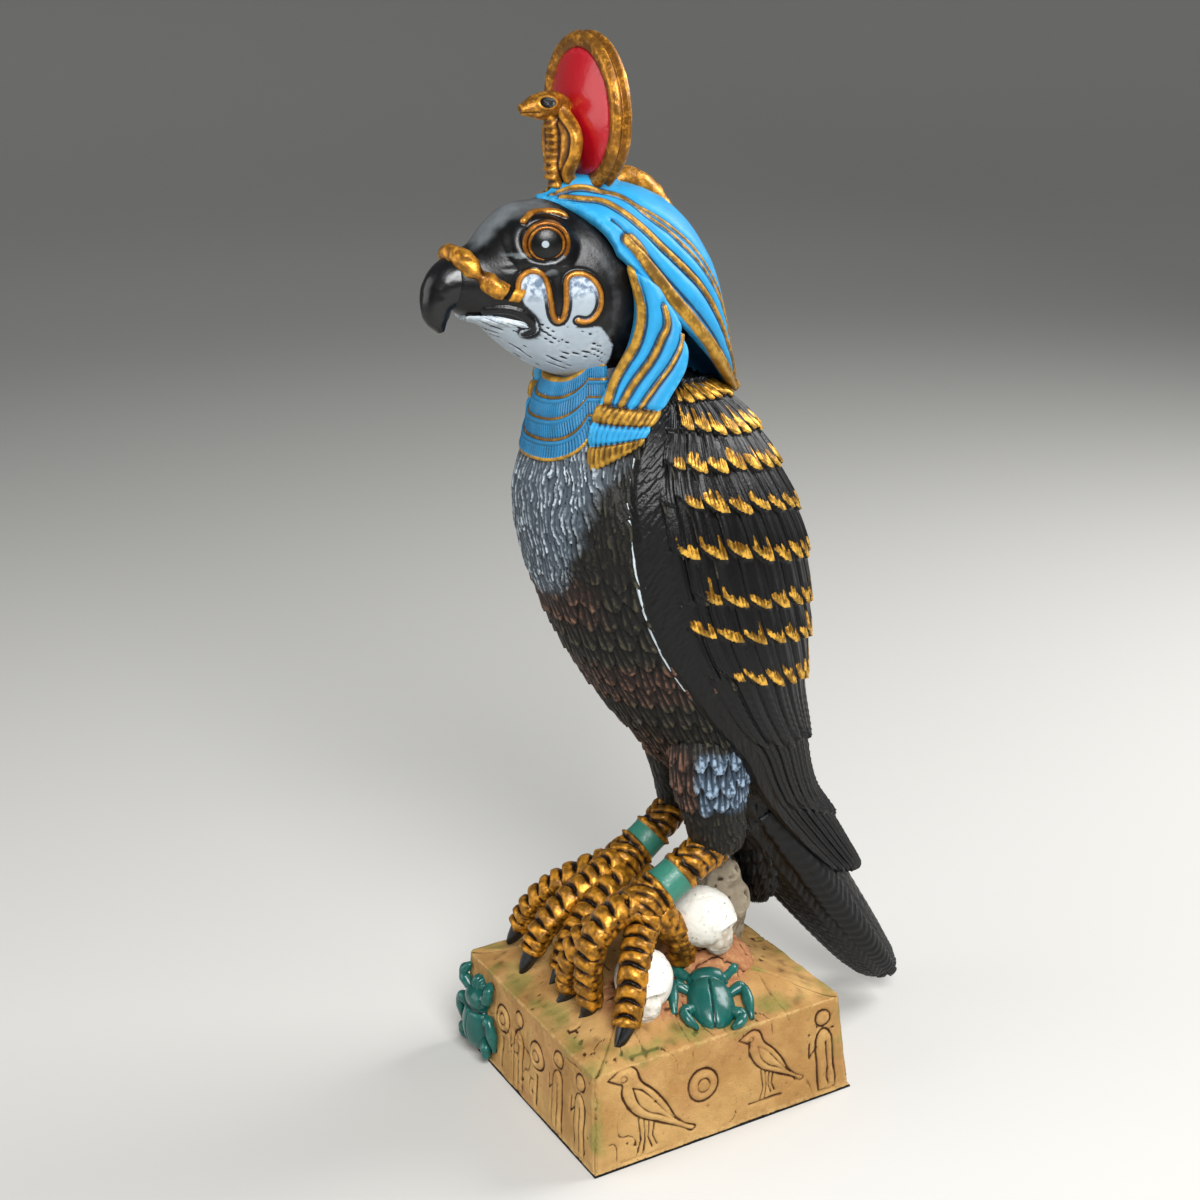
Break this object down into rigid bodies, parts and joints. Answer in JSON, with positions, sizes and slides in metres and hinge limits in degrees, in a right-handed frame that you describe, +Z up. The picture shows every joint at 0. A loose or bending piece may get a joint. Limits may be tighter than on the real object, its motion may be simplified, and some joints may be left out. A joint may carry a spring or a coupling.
{
  "type": "falcon statue",
  "caption": "Standing falcon figurine in a striped headcloth and broad collar, with a sun disc and cobra on its head, on a carved sandstone-look plinth with scarabs and skulls.",
  "frame": {"origin": "middle of the plinth's underside", "axes": "+Z up; the bird faces -Y, and its left side is +X"},
  "size_m": [0.08, 0.1389, 0.2796],
  "materials": {
    "sandstone": "matt sandstone-coloured paint on cast resin, with brown and green washes",
    "plumage": "satin black paint on cast resin, feather tips picked out in gold, breast dry-brushed pale grey and brown",
    "gilding": "antique gold paint, rubbed dark in the recesses, with a gloss red dome",
    "headcloth": "satin sky-blue enamel paint with raised gold stripes and dark wash in the grooves",
    "red_dome": "glossy deep red enamel",
    "gilded_feet": "antique gold paint on scaly toes, dark brown in the grooves, gloss black claws",
    "bone": "matt off-white with brown specks and black sockets",
    "scarab_green": "dark blue-green enamel rubbed lighter on the edges"
  },
  "bodies": {
    "root": {"plinth": "sandstone", "falcon": "plumage", "sun_disc": "gilding"}
  },
  "joints": []
}
